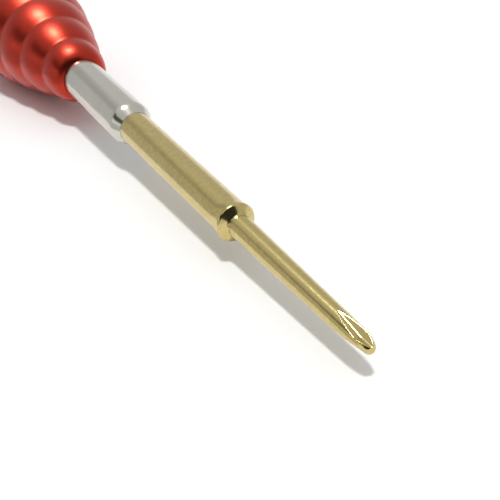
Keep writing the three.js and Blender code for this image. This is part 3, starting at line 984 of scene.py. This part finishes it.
gold_coat = metal(
    "gold_coat", (0.605, 0.492, 0.205), (0.71, 0.59, 0.31),
    roughness=0.17, grain_along=5200, grain_around=120, relief=0.0015,
    smear=0.12, wear=0.7, smear_size=2600, patchy=0.4, dents=1.5,
)
nickel = metal(
    "nickel_plate", (0.62, 0.605, 0.535), (0.76, 0.74, 0.68),
    roughness=0.17, grain_along=7000, grain_around=120, relief=0.0012,
    smear=0.08, wear=0.7,
)
red_anodise = metal(
    "red_anodise", (0.46, 0.040, 0.022), (0.54, 0.09, 0.06),
    roughness=0.33, grain_along=3800, grain_around=900, relief=0.002,
    smear=0.08, wear=0.2,
)
bearing_steel = metal(
    "bearing_steel", (0.70, 0.71, 0.72), (0.82, 0.83, 0.84),
    roughness=0.1, grain_along=6000, grain_around=400, relief=0.0005,
    smear=0.05, wear=0.5,
)
screw_steel = metal(
    "screw_steel", (0.50, 0.51, 0.52), (0.70, 0.71, 0.72),
    roughness=0.28, grain_along=6000, grain_around=300, relief=0.001,
    smear=0.1, wear=0.7,
)
spring_steel = metal(
    "spring_steel", (0.24, 0.25, 0.26), (0.45, 0.46, 0.47),
    roughness=0.34, grain_along=4000, grain_around=900, relief=0.001,
    smear=0.1, wear=0.6,
)
metals = (gold_coat, nickel, red_anodise, bearing_steel, screw_steel, spring_steel)
print("metals:", [material.name for material in metals])

# %% [markdown]
# Each new piece takes the place of its CAD node, moves with that node's body and names its material slot.

# %% Put the pieces on the frame
SLOTS = {row["node"]: row["material_slot"] for row in frame["record"]["subparts"]}
FINISHES = {
    "gold_coat": gold_coat, "nickel": nickel, "red_anodise": red_anodise,
    "bearing_steel": bearing_steel, "screw_steel": screw_steel, "spring_steel": spring_steel,
}
BODY_OF = {node: body for body, nodes in frame["record"]["behaviour"]["bodies"].items() for node in nodes}
stands_for = {
    "driver_bit": driver_bit, "collar": collar, "handle_body": handle_body, "cap_body": cap_body,
    "cap_lid": cap_lid, "retaining_ring": retaining_ring, "bearing_inner_ring": inner_ring,
    "bearing_outer_ring": outer_ring, "bearing_cage": bearing_cage, "shield_rear": shield_rear,
    "shield_front": shield_front, "axle_screw": axle_screw, "head_washer": head_washer,
    "spacer_tube": spacer_tube, **{f"ball_{i + 1}": ball for i, ball in enumerate(balls)},
}
for node, piece in stands_for.items():
    piece.data.materials.clear()
    piece.data.materials.append(FINISHES[SLOTS[node]])
    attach(piece, BODY_OF[node])
    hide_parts(node)
print(len(stands_for), "pieces ride on", sorted(set(BODY_OF.values())))

# %% [markdown]
# The tool lies on its bulge and on one flat of its flange, so its tip is a little lower than its handle.
# The floor is a sheet of white paper that passes under both.
# It has no gloss, so that it shows the shadow alone.

# %% Floor
FLOOR_SIZE = 3
FLOOR_COLOUR = 0.97
FLOOR_ROUGHNESS = 0.9

flat_contact = flange_front - FLANGE_CHAMFER * FLANGE_EDGE / (flange_corner_r - small_end_r)
floor_slope = (flange_flat_r - BULGE_R) / (bulge - flat_contact)

bpy.ops.object.select_all(action="DESELECT")
bpy.ops.mesh.primitive_plane_add(
    size=FLOOR_SIZE, location=(bulge * MM, 0, -BULGE_R * MM), rotation=(0, -math.atan(floor_slope), 0)
)
floor = bpy.context.object
floor.name = "floor"
paper = bpy.data.materials.new("white_paper")
paper.use_nodes = True
shader = paper.node_tree.nodes["Principled BSDF"]
shader.inputs["Base Color"].default_value = (FLOOR_COLOUR, FLOOR_COLOUR, FLOOR_COLOUR, 1)
shader.inputs["Roughness"].default_value = FLOOR_ROUGHNESS
shader.inputs["Specular IOR Level"].default_value = 0
floor.data.materials.append(paper)
print("floor leans", round(math.degrees(math.atan(floor_slope)), 2), "degrees in the frame of the tool")

# %% [markdown]
# A key lamp almost overhead casts the shadow.
# A second lamp, behind the handle, lights reflections alone: it gives the small glints on beads and edges.
# The world is a soft fill that comes mostly from overhead, so that it is dark under the handle.
# For the camera and for reflections the world is the white of the backdrop.

# %% Lamps and world
LAMP_DISTANCE = 1.5
KEY_LEVEL = 0.54
KEY_SPREAD = math.radians(6)
GLINT_ENERGY = 16
GLINT_SIZE = 0.4
FILL_LOW = 0.16
FILL_OVERHEAD = 0.64

aim = Vector((shoulder * MM, 0, 0))


def add_lamp(name, kind, direction, energy):
    data = bpy.data.lights.new(name, kind)
    data.energy = energy
    lamp = bpy.data.objects.new(name, data)
    lamp.location = aim + direction * LAMP_DISTANCE
    lamp.rotation_euler = direction.to_track_quat("Z", "Y").to_euler()
    bpy.context.scene.collection.objects.link(lamp)
    print(name, "has energy", round(energy, 2))
    return lamp


key_direction = Vector((0.22, -0.18, 0.95)).normalized()
key_lamp = add_lamp("key_lamp", "SUN", key_direction, KEY_LEVEL * math.pi)
key_lamp.data.angle = KEY_SPREAD
key_lamp.visible_glossy = False
glint_direction = Vector((-0.415, -0.09, 0.905)).normalized()
glint_lamp = add_lamp("glint_lamp", "AREA", glint_direction, GLINT_ENERGY)
glint_lamp.data.shape = "DISK"
glint_lamp.data.size = GLINT_SIZE
glint_lamp.visible_diffuse = False

world = bpy.data.worlds.new("white_studio")
bpy.context.scene.world = world
world.use_nodes = True
tree = world.node_tree
background = tree.nodes["Background"]
background.inputs["Color"].default_value = (1, 1, 1, 1)
sky = add(tree, "ShaderNodeTexCoord")
sky_way = add(tree, "ShaderNodeSeparateXYZ", [(0, sky.outputs["Generated"])])
overhead = math_node(tree, "MULTIPLY", math_node(tree, "MAXIMUM", sky_way.outputs["Z"], 0), FILL_OVERHEAD)
fill = math_node(tree, "ADD", overhead, FILL_LOW)
path = add(tree, "ShaderNodeLightPath")
seen = math_node(tree, "MAXIMUM", path.outputs["Is Camera Ray"], path.outputs["Is Glossy Ray"])
seen = math_node(tree, "MAXIMUM", seen, path.outputs["Is Transmission Ray"])
tree.links.new(math_node(tree, "MAXIMUM", seen, fill), background.inputs["Strength"])
print("the fill grows from", FILL_LOW, "at the horizon to", FILL_LOW + FILL_OVERHEAD, "overhead")

# %% [markdown]
# Bright metal shows what stands around it. A grey tent gives the even middle tone.
# Two darker bands low on the left, and a small card beside the tool, draw the dark stripe along the rod.
# A black flag around the camera, and its wing, darken the edges that face it.
# The card is flat. Each other screen is a patch of a sphere, between two bearings and two heights in degrees.
# Screens are seen by reflections alone: the camera, the shadows and the fill don't know them.

# %% Screens for the reflections
SCREEN_STEPS = 24
CARD_X = (62, 134)
CARD_Y = -12
CARD_Z = (-7, 1)


def panel(name, corners, faces, grey):
    mesh = bpy.data.meshes.new(name)
    mesh.from_pydata(corners, [], faces)
    board = bpy.data.objects.new(name, mesh)
    bpy.context.scene.collection.objects.link(board)
    board.visible_camera = board.visible_diffuse = board.visible_shadow = False
    board.visible_transmission = board.visible_volume_scatter = False
    finish = bpy.data.materials.new(name)
    finish.use_nodes = True
    tree = finish.node_tree
    tree.nodes.remove(tree.nodes["Principled BSDF"])
    glow = add(tree, "ShaderNodeEmission", [("Color", (grey, grey, grey, 1)), ("Strength", 1)])
    tree.links.new(glow.outputs[0], tree.nodes["Material Output"].inputs["Surface"])
    mesh.materials.append(finish)
    print(name, "is a grey of", grey)


def screen(name, bearings, heights, radius, grey):
    corners = []
    for row in shares(SCREEN_STEPS):
        height = math.radians(heights[0] + (heights[1] - heights[0]) * row)
        for column in shares(SCREEN_STEPS):
            bearing = math.radians(bearings[0] + (bearings[1] - bearings[0]) * column)
            level = math.cos(height)
            way = Vector((level * math.cos(bearing), level * math.sin(bearing), math.sin(height)))
            corners.append(aim + way * radius)
    row_length = SCREEN_STEPS + 1
    starts = [row * row_length + column for row in range(SCREEN_STEPS) for column in range(SCREEN_STEPS)]
    panel(name, corners, [(i, i + 1, i + 1 + row_length, i + row_length) for i in starts], grey)


screen("tent", (-180, 180), (10, 90), 2.4, 0.64)
screen("band", (-180, -132), (20, 31), 1.2, 0.45)
screen("low_band", (-180, -125), (-4, 20), 1.25, 0.59)
screen("wing", (-132, -80), (15, 34), 1.2, 0.06)
screen("flag", (-85, 25), (2, 66), 1.1, 0.02)
card_corners = [(x * MM, CARD_Y * MM, z * MM) for x in CARD_X for z in CARD_Z]
panel("card", card_corners, [(0, 1, 3, 2)], 0.59)

# %% [markdown]
# The camera looks down at the tip from in front, close enough for a strong perspective.
# Its place is worked out from one point of the tool: where the shoulder's centre falls in the picture.

# %% Camera
PICTURE = 500
FOCAL = 1000
SHOULDER_PIXEL = (236.2, 222.5)
SHOULDER_DEPTH = 75.5
CAMERA_SIDE = Vector((0.727, -0.4135, 0.5476))
SENSOR = 36
NEAREST = 0.005

right = Vector((0.494, 0.869, 0))
up = Vector((-0.476, 0.2705, 0.837))

camera_data = bpy.data.cameras.new("camera")
camera_data.sensor_width = SENSOR
camera_data.lens = SENSOR * FOCAL / PICTURE
camera_data.clip_start = NEAREST
camera = bpy.data.objects.new("camera", camera_data)
across = (SHOULDER_PIXEL[0] - PICTURE / 2) / FOCAL * SHOULDER_DEPTH
above = (PICTURE / 2 - SHOULDER_PIXEL[1]) / FOCAL * SHOULDER_DEPTH
place = aim + (SHOULDER_DEPTH * CAMERA_SIDE - across * right - above * up) * MM
turned_to = Matrix((right, up, CAMERA_SIDE)).transposed().to_4x4()
camera.matrix_world = Matrix.Translation(place) @ turned_to
bpy.context.scene.collection.objects.link(camera)
bpy.context.scene.camera = camera
bpy.context.scene.view_settings.view_transform = "Standard"
print("camera at", [round(v / MM, 1) for v in place], "mm")
